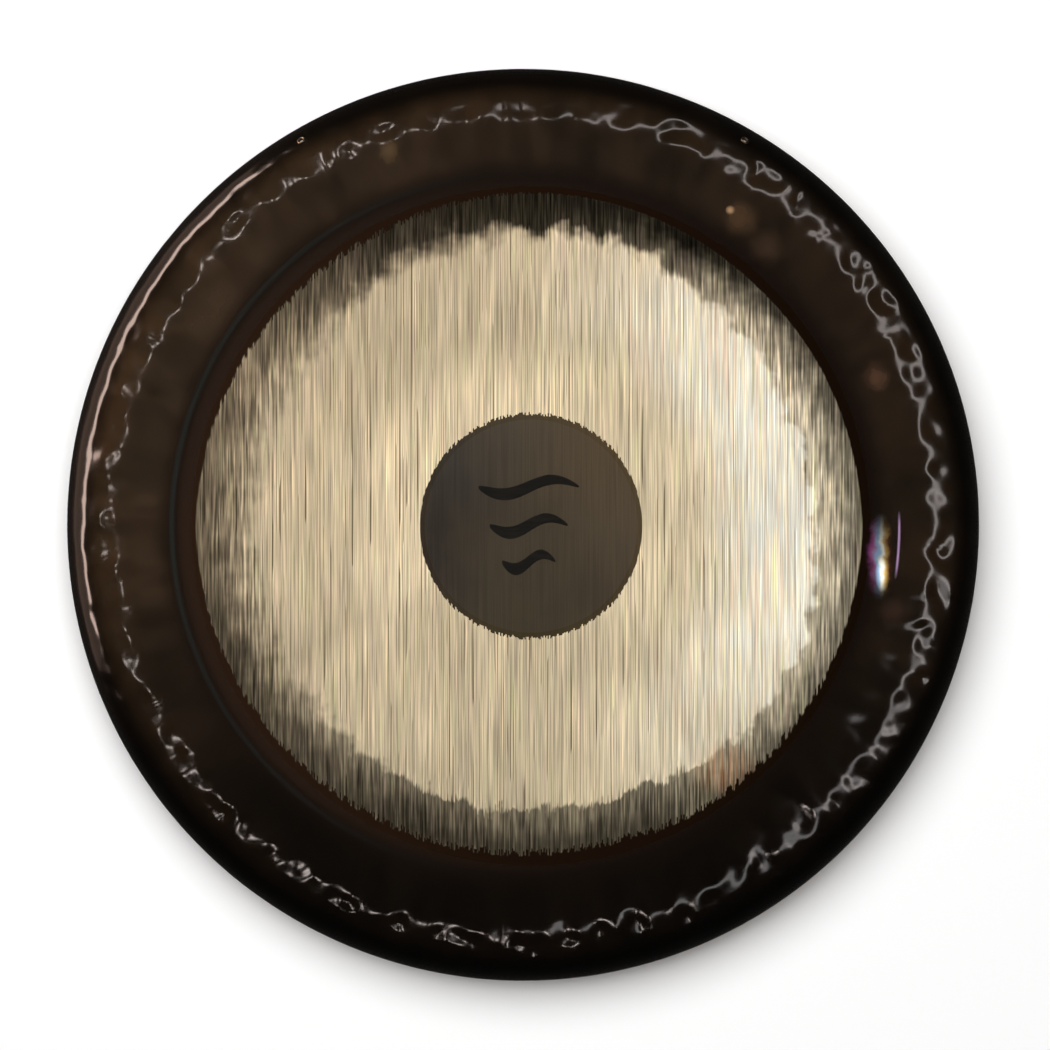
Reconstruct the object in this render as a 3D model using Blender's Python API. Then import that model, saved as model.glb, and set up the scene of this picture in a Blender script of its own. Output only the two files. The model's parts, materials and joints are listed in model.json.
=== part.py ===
"""Tam tam gong: one hammered sheet of nickel silver with a turned-back rim, hung upright by two eyelets.

Metres. The struck face looks along -Y and +Z is up. The origin is midway between the centres of the two
hanging eyelets, so the gong's own axis lies below it, along Y. Radii are measured from that axis, and
depths run backwards, along +Y, from the front of the flat outer band.
"""

import math

import bmesh
import bpy
from mathutils import Matrix, Vector

# The sheet
RIM_RADIUS = 0.4065
RIM_DEPTH = 0.058
SHEET = 0.0015
SHOULDER_RADIUS = 0.045
FLANGE_TAPER = 0.004
FACE_RISE = 0.008
FACE_FLAT_RADIUS = 0.098
ROLL_START_RADIUS = 0.240
ROLL_END_RADIUS = 0.312
ROLL_SHARE = 0.6
SEGMENTS = 72
SHOULDER_FACETS = 9
CROWN_STEPS = 3
ROLL_STEPS = 5

# The two hanging holes, one on each side of the top, in the shoulder's middle facet
HOLE_ANGLE = math.radians(30)
HOLE_TILT = math.radians(45)
HOLE_RADIUS = 0.0029
HOLE_SIDES = 24

# The eyelets, turned to one closed section
GAP = 0.0003
EYELET_BORE_RADIUS = 0.0021
EYELET_BARREL_RADIUS = HOLE_RADIUS - GAP
EYELET_FLANGE_RADIUS = 0.0038
EYELET_LIP = 0.0004
EYELET_EDGE = 0.0003
EYELET_FLANGE = 0.0006

# The painted mark: ripples, longest at the top
MARK_CENTRE_X = 0.005
RIPPLES = (("upper", 0.034, 0.090), ("middle", 0.000, 0.070), ("lower", -0.032, 0.048))
RIPPLE_HALF_WIDTH = 0.0062
RIPPLE_SWING = 0.0065
RIPPLE_POINTS = 28
PAINT = 0.0003

FACET_INSET = math.cos(math.radians(90 / SHOULDER_FACETS / 2))
FLAT_RADIUS = RIM_RADIUS - SHOULDER_RADIUS
HOLE_CENTRE_RADIUS = FLAT_RADIUS + SHOULDER_RADIUS * FACET_INSET * math.sin(HOLE_TILT)
HOLE_DEPTH = SHOULDER_RADIUS * (1 - FACET_INSET * math.cos(HOLE_TILT))
AXIS_HEIGHT = -HOLE_CENTRE_RADIUS * math.cos(HOLE_ANGLE)


def clear_scene():
    for obj in list(bpy.data.objects):
        bpy.data.objects.remove(obj, do_unlink=True)


def material(name, colour, metallic, roughness):
    made = bpy.data.materials.new(name)
    made.use_nodes = True
    shader = made.node_tree.nodes["Principled BSDF"]
    shader.inputs["Base Color"].default_value = (*colour, 1)
    shader.inputs["Metallic"].default_value = metallic
    shader.inputs["Roughness"].default_value = roughness
    return made


def object_from(name, bm, surface):
    """A new object from bm, its faces turned outward and its round faces shaded smooth."""
    bmesh.ops.recalc_face_normals(bm, faces=bm.faces)
    mesh = bpy.data.meshes.new(name)
    bm.to_mesh(mesh)
    bm.free()
    mesh.shade_smooth()
    mesh.set_sharp_from_angle(angle=math.radians(35))
    mesh.materials.append(surface)
    made = bpy.data.objects.new(name, mesh)
    bpy.context.collection.objects.link(made)
    return made


def turned(section, steps, closed):
    """A bmesh: the section of (radius, height) points turned about local Z.

    An open section starts and ends on the axis. A closed one runs round a hollow body.
    """
    bm = bmesh.new()
    start = Matrix.Rotation(math.pi / steps, 3, "Z")
    points = [bm.verts.new(start @ Vector((radius, 0, height))) for radius, height in section]
    following = points[1:] + points[:1] if closed else points[1:]
    lines = [bm.edges.new(pair) for pair in zip(points, following)]
    bmesh.ops.spin(bm, geom=points + lines, cent=(0, 0, 0), axis=(0, 0, 1),
                   angle=2 * math.pi, steps=steps, use_merge=True)
    bmesh.ops.remove_doubles(bm, verts=bm.verts, dist=1e-6)
    return bm


def face_depth(radius):
    """Depth of the struck face: a flat middle, a slow crown, then a roll down to the outer band."""
    def falling(start, end):
        t = min(max((radius - start) / (end - start), 0), 1)
        return 0.5 + 0.5 * math.cos(math.pi * t)

    crown = (1 - ROLL_SHARE) * falling(FACE_FLAT_RADIUS, ROLL_END_RADIUS)
    return -FACE_RISE * (crown + ROLL_SHARE * falling(ROLL_START_RADIUS, ROLL_END_RADIUS))


def spaced(start, end, steps):
    return [start + (end - start) * i / steps for i in range(1, steps + 1)]


def sheet_side(thickness):
    """One side of the sheet's section, from the axis out to the rim's edge, as (radius, depth) points.

    Thickness is how far this side lies behind the front.
    """
    radii = [0, FACE_FLAT_RADIUS / 2, FACE_FLAT_RADIUS]
    radii += spaced(FACE_FLAT_RADIUS, ROLL_START_RADIUS, CROWN_STEPS)
    radii += spaced(ROLL_START_RADIUS, ROLL_END_RADIUS, ROLL_STEPS)
    side = [(radius, face_depth(radius) + thickness) for radius in radii]
    bend = SHOULDER_RADIUS - thickness
    for i in range(SHOULDER_FACETS + 1):
        angle = math.pi / 2 * i / SHOULDER_FACETS
        side.append((FLAT_RADIUS + bend * math.sin(angle), SHOULDER_RADIUS - bend * math.cos(angle)))
    side.append((RIM_RADIUS - FLANGE_TAPER - thickness, RIM_DEPTH))
    return side


def gong_axis():
    """Turns local -Z, the way the face looks, to -Y, and puts the gong's axis below the origin."""
    return Matrix.Translation((0, -HOLE_DEPTH, AXIS_HEIGHT)) @ Matrix.Rotation(-math.pi / 2, 4, "X")


def hole_axis(side):
    """The frame of a hanging hole: its origin on the sheet's front, its Z out of the face. Side is -1 or 1."""
    outward = Vector((side * math.sin(HOLE_ANGLE), 0, math.cos(HOLE_ANGLE)))
    centre = Vector((0, 0, AXIS_HEIGHT)) + HOLE_CENTRE_RADIUS * outward
    normal = math.sin(HOLE_TILT) * outward + math.cos(HOLE_TILT) * Vector((0, -1, 0))
    return Matrix.Translation(centre) @ normal.to_track_quat("Z", "Y").to_matrix().to_4x4()


def hole_cutter(name, side):
    bm = bmesh.new()
    bmesh.ops.create_cone(bm, cap_ends=True, segments=HOLE_SIDES, radius1=HOLE_RADIUS,
                          radius2=HOLE_RADIUS, depth=8 * SHEET)
    cutter = object_from(name, bm, material(name, (0.8, 0.2, 0.2), 0, 0.5))
    cutter.matrix_world = hole_axis(side)
    cutter.hide_render = True
    cutter.display_type = "WIRE"
    return cutter


def make_plate(surface):
    section = sheet_side(0) + list(reversed(sheet_side(SHEET)))
    plate = object_from("gong_plate", turned(section, SEGMENTS, closed=False), surface)
    plate.matrix_world = gong_axis()
    for name, side in (("left", -1), ("right", 1)):
        cut = plate.modifiers.new("hole_" + name, "BOOLEAN")
        cut.operation = "DIFFERENCE"
        cut.object = hole_cutter("cutter_" + name, side)
    return plate


def eyelet_section():
    """The eyelet's closed section: a flat-topped front flange, the barrel and a rolled back flange."""
    front = GAP + EYELET_FLANGE
    back = -SHEET - GAP - EYELET_FLANGE
    bore = EYELET_BORE_RADIUS
    edge = EYELET_FLANGE_RADIUS - EYELET_EDGE
    return [
        (bore, front - EYELET_LIP),
        (bore + EYELET_LIP, front),
        (edge, front),
        (EYELET_FLANGE_RADIUS, front - EYELET_EDGE),
        (EYELET_FLANGE_RADIUS, GAP),
        (EYELET_BARREL_RADIUS, GAP),
        (EYELET_BARREL_RADIUS, -SHEET - GAP),
        (EYELET_FLANGE_RADIUS, -SHEET - GAP),
        (EYELET_FLANGE_RADIUS, back + EYELET_EDGE),
        (edge, back),
        (bore + EYELET_LIP, back),
        (bore, back + EYELET_LIP),
    ]


def make_eyelet(name, side, surface):
    eyelet = object_from(name, turned(eyelet_section(), HOLE_SIDES, closed=True), surface)
    eyelet.matrix_world = hole_axis(side)
    return eyelet


def make_ripple(name, height, length, surface):
    """One brush stroke of paint: a wave that thins out to rounded ends, as a slab just off the face."""
    bm = bmesh.new()
    rails = []
    for i in range(RIPPLE_POINTS + 1):
        t = -math.cos(math.pi * i / RIPPLE_POINTS)
        middle = RIPPLE_SWING * math.sin(math.pi * t)
        half = RIPPLE_HALF_WIDTH * math.sqrt(max(1 - t * t, 0.01)) * (1 - 0.25 * t)
        across = MARK_CENTRE_X + t * length / 2
        rails.append([bm.verts.new((across, 0, height + middle + way * half)) for way in (-1, 1)])
    for (low, high), (next_low, next_high) in zip(rails, rails[1:]):
        bm.faces.new((low, next_low, next_high, high))
    grown = bmesh.ops.extrude_face_region(bm, geom=bm.faces[:])["geom"]
    moved = [item for item in grown if isinstance(item, bmesh.types.BMVert)]
    bmesh.ops.translate(bm, verts=moved, vec=(0, -PAINT, 0))
    stroke = object_from(name, bm, surface)
    stroke.location = (0, -HOLE_DEPTH - FACE_RISE - GAP, AXIS_HEIGHT)
    return stroke


def main():
    clear_scene()
    nickel_silver = material("brushed_nickel_silver", (0.60, 0.51, 0.34), 1.0, 0.32)
    eyelet_metal = material("eyelet_metal", (0.55, 0.50, 0.42), 1.0, 0.30)
    paint = material("black_paint", (0.006, 0.006, 0.005), 0.0, 0.55)
    make_plate(nickel_silver)
    make_eyelet("hole_eyelet_left", -1, eyelet_metal)
    make_eyelet("hole_eyelet_right", 1, eyelet_metal)
    for name, height, length in RIPPLES:
        make_ripple("painted_ripple_" + name, height, length, paint)


main()
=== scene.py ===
"""Looks of the tam tam gong: a hammered sheet in five zones, two eyelets and a ripple mark."""

import json
import math

import bmesh
import bpy
import numpy as np
from mathutils import Matrix, Vector


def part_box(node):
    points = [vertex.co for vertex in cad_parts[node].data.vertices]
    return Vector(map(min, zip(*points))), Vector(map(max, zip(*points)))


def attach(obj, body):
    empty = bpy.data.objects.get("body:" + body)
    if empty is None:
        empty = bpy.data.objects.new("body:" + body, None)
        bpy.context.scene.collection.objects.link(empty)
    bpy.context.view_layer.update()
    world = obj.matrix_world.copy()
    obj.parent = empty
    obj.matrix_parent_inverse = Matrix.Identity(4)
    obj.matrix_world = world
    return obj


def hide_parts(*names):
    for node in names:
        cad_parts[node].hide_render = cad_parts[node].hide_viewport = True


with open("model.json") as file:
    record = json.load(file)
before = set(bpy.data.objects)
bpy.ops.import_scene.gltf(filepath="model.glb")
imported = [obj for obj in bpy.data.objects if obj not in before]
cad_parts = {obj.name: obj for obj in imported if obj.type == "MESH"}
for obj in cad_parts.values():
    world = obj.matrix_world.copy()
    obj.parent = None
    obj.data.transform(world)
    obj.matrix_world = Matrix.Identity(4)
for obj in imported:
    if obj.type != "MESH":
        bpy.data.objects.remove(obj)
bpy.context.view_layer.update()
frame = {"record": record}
MOUNTS = {mount["name"]: mount for mount in frame["record"]["mounts"]}

# The sheet's section, as in the CAD model. U is the distance along the sheet from the gong's axis.
PLATE_LOW, PLATE_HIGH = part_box("gong_plate")
CAD_SEGMENTS = 72
AXIS_X = (PLATE_LOW.x + PLATE_HIGH.x) / 2
AXIS_Z = (PLATE_LOW.z + PLATE_HIGH.z) / 2
RIM_RADIUS = (PLATE_HIGH.x - PLATE_LOW.x) / 2 / math.cos(math.pi / CAD_SEGMENTS)
SHEET = 0.0015
SHOULDER_RADIUS = 0.045
FLANGE_TAPER = 0.004
FACE_RISE = 0.008
FACE_FLAT_RADIUS = 0.098
ROLL_START_RADIUS = 0.240
ROLL_END_RADIUS = 0.312
ROLL_SHARE = 0.6
FLAT_RADIUS = RIM_RADIUS - SHOULDER_RADIUS
BAND_Y = PLATE_LOW.y + FACE_RISE
RIM_DEPTH = PLATE_HIGH.y - BAND_Y

# The hammering flattens the first of the shoulder, which bends tighter before it joins the
# CAD model's arc. Each pair: radius, and the sheet's tilt back from flat there in degrees.
FLAT_END = (0.3560, 0.0)
CONE_START = (0.3650, 12.4)
CONE_END = (0.3820, 19.0)
ARC_RADIUS = 0.3900
ARC_START = (ARC_RADIUS, math.degrees(math.asin((ARC_RADIUS - FLAT_RADIUS) / SHOULDER_RADIUS)))
# The tight bend from the shoulder into the flange, and how finely the section is worked out
BEND = 0.0015
TABLE_STEPS = 6000
TABLE_OVERRUN = 0.02

# The finish was masked and brushed a little off the gong's centre. The mesh's rings follow it,
# and are back on the gong's centre at SHIFT_ENDS.
FINISH_X = 0.0071
FINISH_Z = -0.0011
DISC_RADIUS = 0.0981
RING_RADIUS = 0.2962
SHIFT_ENDS = 0.345

# Where the visual pieces meet, along the sheet
DISC_BORDER = 0.094
RING_BORDER = 0.300
BAND_BORDER = 0.4130
FACE_SEGMENTS = 512
RIM_SEGMENTS = 1280
# An extra row this far past a zone's border gives the border its normals
PAD = 0.001
# The sheet is left open this near a hanging hole's axis, and this far along it
HOLE_CLEAR = 0.0030
HOLE_REACH = 0.02

# Rows of hammer marks: distance along the sheet, spacing, depth
HAMMER_ROWS = ((0.345, 0.045, 0.0004), (0.358, 0.028, 0.0010), (0.370, 0.023, 0.0015),
               (0.382, 0.024, 0.0014), (0.394, 0.032, 0.0003), (0.410, 0.030, 0.0003))
# Small marks all round the shoulder, and big ones at the lower right. All marks' sizes round
# the gong are measured at MARK_RADIUS.
SMALL_MARKS = 300
BIG_MARKS = 14
MARK_RADIUS = 0.375
# Shallow dents on the face, and how far out they go
BROAD_DENTS = 420
DENTED_RADIUS = 0.355
# How hard the hammering is: degrees clockwise from the top, and its share
HAMMER_FORCE = ((0, 0.85), (30, 1.0), (100, 1.0), (150, 1.0), (185, 0.95), (215, 0.90),
                (250, 0.75), (290, 0.75), (320, 0.90), (345, 0.85), (360, 0.85))


def smoothstep(low, high, value):
    t = np.clip((value - low) / (high - low), 0, 1)
    return t * t * (3 - 2 * t)


def falling(start, end, radius):
    """1 up to start, 0 past end, and half a cosine wave between them."""
    return 0.5 + 0.5 * np.cos(np.pi * np.clip((radius - start) / (end - start), 0, 1))


def face_depth(radius):
    """How far the face stands in front of the outer band, as a negative depth."""
    crown = (1 - ROLL_SHARE) * falling(FACE_FLAT_RADIUS, ROLL_END_RADIUS, radius)
    return -FACE_RISE * (crown + ROLL_SHARE * falling(ROLL_START_RADIUS, ROLL_END_RADIUS, radius))


def tilt_table():
    """Distance along the sheet, radius and depth in fine steps, and the sheet's whole length."""
    u, stretches, tilts = 0.0, [0.0], [0.0]
    last_radius, last_tilt = 0.0, 0.0
    for radius, tilt in (FLAT_END, CONE_START, CONE_END, ARC_START):
        u += (radius - last_radius) / math.cos(math.radians((tilt + last_tilt) / 2))
        stretches.append(u)
        tilts.append(math.radians(tilt))
        last_radius, last_tilt = radius, tilt
    u += SHOULDER_RADIUS * (math.pi / 2 - tilts[-1])
    flange = math.hypot(FLANGE_TAPER, RIM_DEPTH - SHOULDER_RADIUS)
    taper = math.pi / 2 + math.asin(FLANGE_TAPER / flange)
    stretches += [u, u + BEND, 1]
    tilts += [math.pi / 2, taper, taper]
    steps = np.linspace(0, u + flange + TABLE_OVERRUN, TABLE_STEPS)
    tilt = np.interp(steps, stretches, tilts)
    middle = (tilt[1:] + tilt[:-1]) / 2
    radius = np.concatenate([[0], np.cumsum(np.cos(middle)) * steps[1]])
    depth = np.concatenate([[0], np.cumsum(np.sin(middle)) * steps[1]])
    shift = RIM_RADIUS - radius.max()
    return steps + shift, radius + shift, depth, float(np.interp(RIM_DEPTH, depth, steps + shift))


TABLE_U, TABLE_RADIUS, TABLE_DEPTH, SHEET_END = tilt_table()


def section(u):
    """(radius, depth) of the sheet's front at distance u along it."""
    radius = np.where(u < FACE_FLAT_RADIUS, u, np.interp(u, TABLE_U, TABLE_RADIUS))
    return radius, np.interp(u, TABLE_U, TABLE_DEPTH) + face_depth(radius)


def hammer_marks():
    """Marks on the shoulder: (distance along the sheet, angle, depth, size along it and round)."""
    rng = np.random.default_rng(11)
    turns, forces = zip(*HAMMER_FORCE)
    marks = []
    for u, spacing, depth in HAMMER_ROWS:
        count = round(2 * math.pi * min(u, RIM_RADIUS) / spacing)
        first = rng.uniform(0, 2 * math.pi)
        for i in range(count):
            angle = first + (i + rng.uniform(-0.38, 0.38)) * 2 * math.pi / count
            force = np.interp((90 - math.degrees(angle)) % 360, turns, forces)
            marks.append((
                u + rng.normal(0, 0.0035),
                angle,
                depth * force * rng.uniform(0.45, 1.25),
                rng.uniform(0.0052, 0.0082),
                rng.uniform(0.0045, 0.0075),
            ))
    for _ in range(SMALL_MARKS):
        turn = rng.uniform(0, 360)
        force = np.interp(turn, turns, forces) * (0.4 if 100 < turn < 165 else 1.0)
        marks.append((
            rng.uniform(0.358, 0.392),
            math.radians(90 - turn),
            force * rng.uniform(0.00015, 0.00050),
            rng.uniform(0.0034, 0.0048),
            rng.uniform(0.0032, 0.0044),
        ))
    for i in range(BIG_MARKS):
        turn = np.interp(i + rng.uniform(-0.3, 0.3), (0, BIG_MARKS - 1), (100, 170))
        marks.append((
            rng.uniform(0.346, 0.368),
            math.radians(90 - turn),
            rng.uniform(0.0014, 0.0024),
            rng.uniform(0.0130, 0.0190),
            rng.uniform(0.0065, 0.0095),
        ))
    return np.array(marks)


def face_dents():
    """Broad shallow hammer marks all over the face: (x, z, depth, size)."""
    rng = np.random.default_rng(5)
    marks = []
    for _ in range(BROAD_DENTS):
        radius = DENTED_RADIUS * math.sqrt(rng.uniform(0.02, 1))
        angle = rng.uniform(0, 2 * math.pi)
        marks.append((
            radius * math.cos(angle),
            radius * math.sin(angle),
            rng.normal(0, 0.00013),
            rng.uniform(0.010, 0.020),
        ))
    return np.array(marks)


HAMMER = hammer_marks()
DENTS = face_dents()


def dent_depth(x, z, u, angle):
    """How far the hammered surface lies off the smooth section, along its normal."""
    depth = np.zeros_like(x)
    for mark_x, mark_z, mark_depth, size in DENTS:
        d2 = ((x - mark_x) ** 2 + (z - mark_z) ** 2) / size ** 2
        depth += mark_depth * np.exp(-d2 / 2)
    for mark_u, mark_angle, mark_depth, size_u, size_round in HAMMER:
        near = (np.abs(u - mark_u) < 4 * size_u).any(axis=-1)
        if not near.any():
            continue
        away = (angle[near] - mark_angle + np.pi) % (2 * np.pi) - np.pi
        d2 = ((u[near] - mark_u) / size_u) ** 2 + (away * MARK_RADIUS / size_round) ** 2
        depth[near] -= mark_depth * np.exp(-d2 / 2)
    return depth


def surface(u_rows, segments, thickness=0.0):
    """Points and normals of the hammered sheet's front, or of a surface thickness behind it."""
    u = np.asarray(u_rows)[:, None]
    angle = (np.arange(segments) * 2 * np.pi / segments)[None, :]
    shift = 1 - smoothstep(RING_BORDER, SHIFT_ENDS, u)
    radius, _ = section(u)
    x = radius * np.cos(angle) + FINISH_X * shift
    z = radius * np.sin(angle) + FINISH_Z * shift
    true_u = np.where(u < FLAT_RADIUS, np.hypot(x, z), u)
    depth = section(true_u)[1]
    points = np.stack([x, np.broadcast_to(depth, x.shape), z], axis=-1)
    off = dent_depth(x, z, np.broadcast_to(true_u, x.shape), np.arctan2(z, x))
    points = points + grid_normals(points) * off[..., None]
    normals = grid_normals(points)
    points = points - normals * thickness
    points += np.array([AXIS_X, BAND_Y, AXIS_Z])
    return points, normals


def grid_normals(points):
    """Unit normals out of the front, from the differences along the grid's two directions."""
    around = np.roll(points, -1, axis=1) - np.roll(points, 1, axis=1)
    outward = np.empty_like(points)
    outward[1:-1] = points[2:] - points[:-2]
    outward[0] = points[1] - points[0]
    outward[-1] = points[-1] - points[-2]
    normal = np.cross(outward, around)
    length = np.linalg.norm(normal, axis=-1, keepdims=True)
    return normal / np.where(length < 1e-15, 1, length)


def spaced(start, end, step):
    """Even rows from start to end, about a step apart."""
    return np.linspace(start, end, max(2, round((end - start) / step) + 1))


def hole_axes():
    """The centre and direction of each hanging hole."""
    axes = []
    for side in ("left", "right"):
        low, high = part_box("hole_eyelet_" + side)
        axes.append((np.array((low + high) / 2), np.array(MOUNTS["eyelet_face_" + side]["axis"])))
    return axes


def grid_quads(rows, segments, back):
    """Faces of a grid that closes round the gong, row by row, that look away from the sheet."""
    index = np.arange(rows * segments).reshape(rows, segments)
    after = np.roll(index, -1, axis=1)
    corners = [index[:-1], after[:-1], after[1:], index[1:]]
    return np.stack(corners if back else [corners[i] for i in (0, 3, 2, 1)], axis=-1)


def clear_of_holes(quads, points):
    """The quads whose centres don't lie in a hanging hole."""
    for hole, axis in hole_axes():
        away = points[quads].mean(axis=1) - hole
        along = away @ axis
        across = np.linalg.norm(away - along[:, None] * axis, axis=1)
        quads = quads[(across > HOLE_CLEAR) | (np.abs(along) > HOLE_REACH)]
    return quads


def sheet_piece(name, u_rows, segments, material, back=False, edge=False):
    """One zone of the sheet as a mesh. With edge, it goes on round the sheet's cut edge."""
    u_rows = np.asarray(u_rows)
    starts_past_axis = u_rows[0] > 1e-6
    ends_short = u_rows[-1] < SHEET_END - 1e-6
    padded = list(u_rows)
    if starts_past_axis:
        padded.insert(0, u_rows[0] - PAD)
    if ends_short:
        padded.append(u_rows[-1] + PAD)
    points, normals = surface(padded, segments, SHEET if back else 0.0)
    points = points[starts_past_axis:len(points) - ends_short]
    normals = normals[starts_past_axis:len(normals) - ends_short]
    if back:
        normals = -normals
    if not starts_past_axis:
        points[0] = points[0].mean(axis=0)
        normals[0] = (0, 1 if back else -1, 0)
    if edge:
        inner, _ = surface([SHEET_END - PAD, SHEET_END], segments, SHEET)
        points = np.concatenate([points, points[-1:], inner[-1:]])
        flat = np.zeros_like(normals[-1:])
        flat[..., 1] = 1
        normals = np.concatenate([normals, flat, flat])
    rows = len(points)
    quads = grid_quads(rows, segments, back)
    if edge:
        # The edge's first row repeats the front's last one, so that the corner is sharp
        quads = np.delete(quads, rows - 3, axis=0)
    points = points.reshape(-1, 3)
    quads = clear_of_holes(quads.reshape(-1, 4), points)
    mesh = bpy.data.meshes.new(name)
    mesh.from_pydata(points, [], quads.tolist())
    mesh.validate()
    mesh.polygons.foreach_set("use_smooth", np.ones(len(mesh.polygons), bool))
    mesh.normals_split_custom_set_from_vertices(normals.reshape(-1, 3))
    made = bpy.data.objects.new(name, mesh)
    bpy.context.scene.collection.objects.link(made)
    mesh.materials.append(material)
    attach(made, "root")
    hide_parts("gong_plate")
    return made


# Materials

def linear(value):
    """One channel of a colour from 0 to 255, made linear."""
    share = value / 255
    return ((share + 0.055) / 1.055) ** 2.4 if share > 0.0404 else share / 12.92


def rgb(red, green, blue):
    """Linear colour of a red, green and blue from 0 to 255."""
    return (linear(red), linear(green), linear(blue), 1)


# The tables round the gong hold pairs: degrees clockwise from the top, and the value there.
# Painted light and shade on the bright zone: how pale it is by the disc and further out, and how
# much of the painted near-white highlight it takes further out
INNER_LEVEL = ((0, 0.89), (15, 0.92), (30, 0.90), (45, 0.78), (75, 0.79), (90, 0.81),
               (105, 0.90), (120, 0.915), (135, 0.83), (150, 0.766), (180, 0.75), (195, 0.80),
               (225, 0.80), (240, 1.0), (255, 0.945), (285, 0.945), (300, 0.98), (330, 0.945),
               (345, 0.945))
OUTER_LEVEL = ((0, 0.75), (15, 0.74), (30, 0.84), (45, 0.83), (60, 0.80), (75, 0.90),
               (90, 0.79), (105, 0.84), (120, 0.84), (135, 0.80), (150, 0.92), (165, 0.88),
               (180, 0.77), (195, 0.83), (210, 0.81), (232, 0.93), (240, 0.74), (255, 0.83),
               (270, 0.81), (285, 0.86), (300, 0.76), (320, 0.70), (330, 0.69), (345, 0.67))
HIGHLIGHT_SHARE = ((0, 0.0), (25, 0.35), (45, 0.85), (60, 1.0), (95, 1.0), (118, 0.8), (140, 0.35),
               (165, 0.0), (330, 0.0))
# Painted shade at the bright zone's border: where it starts and over what width, what share of the
# light is left after that step, and the same for the slow fade that goes on from it
STEP_AT = ((0, 0.260), (15, 0.260), (30, 0.2585), (45, 0.251), (60, 0.250), (75, 0.251),
           (90, 0.251), (105, 0.258), (120, 0.262), (135, 0.264), (150, 0.253), (165, 0.249),
           (180, 0.251), (195, 0.250), (210, 0.249), (225, 0.246), (240, 0.249), (255, 0.248),
           (270, 0.247), (300, 0.249), (315, 0.246), (330, 0.259), (345, 0.258))
STEP_WIDTH = ((0, 0.014), (30, 0.014), (48, 0.010), (75, 0.006), (105, 0.008), (150, 0.005),
              (200, 0.005), (225, 0.012), (250, 0.030), (300, 0.030), (320, 0.020),
              (345, 0.028))
STEP_TO = ((0, 0.045), (15, 0.062), (30, 0.20), (45, 0.60), (60, 0.86), (75, 0.77), (90, 0.90),
           (105, 0.53), (120, 0.64), (135, 0.60), (150, 0.28), (165, 0.26), (180, 0.36),
           (195, 0.26), (210, 0.36), (225, 0.44), (240, 0.60), (255, 0.64), (270, 0.65),
           (285, 0.50), (300, 0.60), (315, 0.45), (330, 0.11), (345, 0.08))
FADE_TO = ((0, 0.60), (15, 0.33), (30, 0.05), (45, 0.10), (60, 0.13), (75, 0.23), (90, 0.34),
           (105, 0.51), (120, 0.30), (135, 0.22), (150, 0.55), (165, 0.36), (180, 0.40),
           (195, 0.40), (210, 0.40), (225, 0.38), (240, 0.27), (255, 0.27), (270, 0.47),
           (285, 0.52), (300, 0.56), (315, 0.42), (330, 0.62), (345, 0.52))
FADE_WIDTH = ((0, 0.040), (15, 0.036), (30, 0.027), (45, 0.040), (110, 0.040), (135, 0.030),
              (160, 0.038), (345, 0.040))
# How far the strokes' ends vary at the zone's outer border, and where they end a little short of it
END_JAG = ((0, 0.35), (15, 0.1), (60, 0.1), (85, 0.8), (110, 1.0), (330, 0.9))
END_SHORT = ((0, 0.0), (20, 0.4), (45, 1.0), (75, 0.8), (105, 0.6), (130, 0.2), (150, 0.1),
             (165, 0.8), (180, 0.5), (195, 0.0), (345, 0.0))

# The dark band's painted light and shade round the gong, the dip's level beside the bright zone,
# the dip's warm share and the teal line
BAND_PAINTED_LIGHT = ((0, 0.145), (45, 0.118), (90, 0.108), (112, 0.070), (135, 0.030), (165, 0.028),
              (200, 0.032), (225, 0.038), (245, 0.110), (265, 0.21), (290, 0.24), (330, 0.20))
VALLEY_LEVEL = ((0, 0.20), (90, 0.15), (180, 0.16), (270, 0.24))
WARM_SHARE = ((0, 0.2), (60, 0.0), (120, 0.1), (180, 0.3), (225, 0.8), (270, 1.0), (315, 0.7))
TEAL_SHARE = ((0, 0.1), (60, 0.0), (180, 0.0), (230, 0.5), (270, 1.0), (320, 0.6))
# How strongly small pocks break the shoulder's highlights
POCKS = ((0, 0.5), (20, 0.05), (100, 0.05), (125, 0.2), (165, 0.8), (200, 1.0), (330, 1.0),
         (350, 0.7))

# Colour stops: the bright zone's strokes, plain and under the painted highlight, the disc round the
# gong, the painted rainbow highlight
STRAW = ((0.32, rgb(214, 197, 169)), (0.46, rgb(217, 203, 170)), (0.58, rgb(219, 206, 172)),
         (0.70, rgb(214, 208, 164)))
WHITE = ((0.32, rgb(238, 218, 192)), (0.43, rgb(240, 230, 202)), (0.51, rgb(236, 238, 226)),
         (0.60, rgb(240, 232, 200)), (0.70, rgb(236, 234, 186)))
DISC_TINT = ((0.0, rgb(92, 81, 63)), (0.125, rgb(100, 84, 60)), (0.25, rgb(97, 83, 62)),
             (0.375, rgb(80, 68, 51)), (0.5, rgb(76, 67, 47)), (0.625, rgb(69, 61, 49)),
             (0.75, rgb(58, 51, 44)), (0.875, rgb(68, 63, 57)), (1.0, rgb(92, 81, 63)))
RAINBOW = ((0.0, rgb(60, 30, 60)), (0.25, rgb(196, 96, 170)), (0.45, rgb(150, 190, 226)),
           (0.58, rgb(250, 250, 232)), (0.72, rgb(226, 186, 96)), (0.88, rgb(150, 70, 36)),
           (1.0, rgb(50, 26, 16)))

BAND_SPECULAR = 0.35
# Painted glints and warm sheen in the dark scale: x, z, size and colour
PAINTED_GLINTS = ((0.183, 0.278, 0.0045, rgb(150, 118, 82)), (0.192, 0.270, 0.020, rgb(52, 36, 20)),
          (0.312, 0.131, 0.016, rgb(58, 38, 25)), (0.330, -0.075, 0.018, rgb(34, 22, 16)),
          (-0.118, 0.330, 0.014, rgb(58, 44, 26)), (0.215, 0.245, 0.020, rgb(38, 26, 16)))
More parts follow.
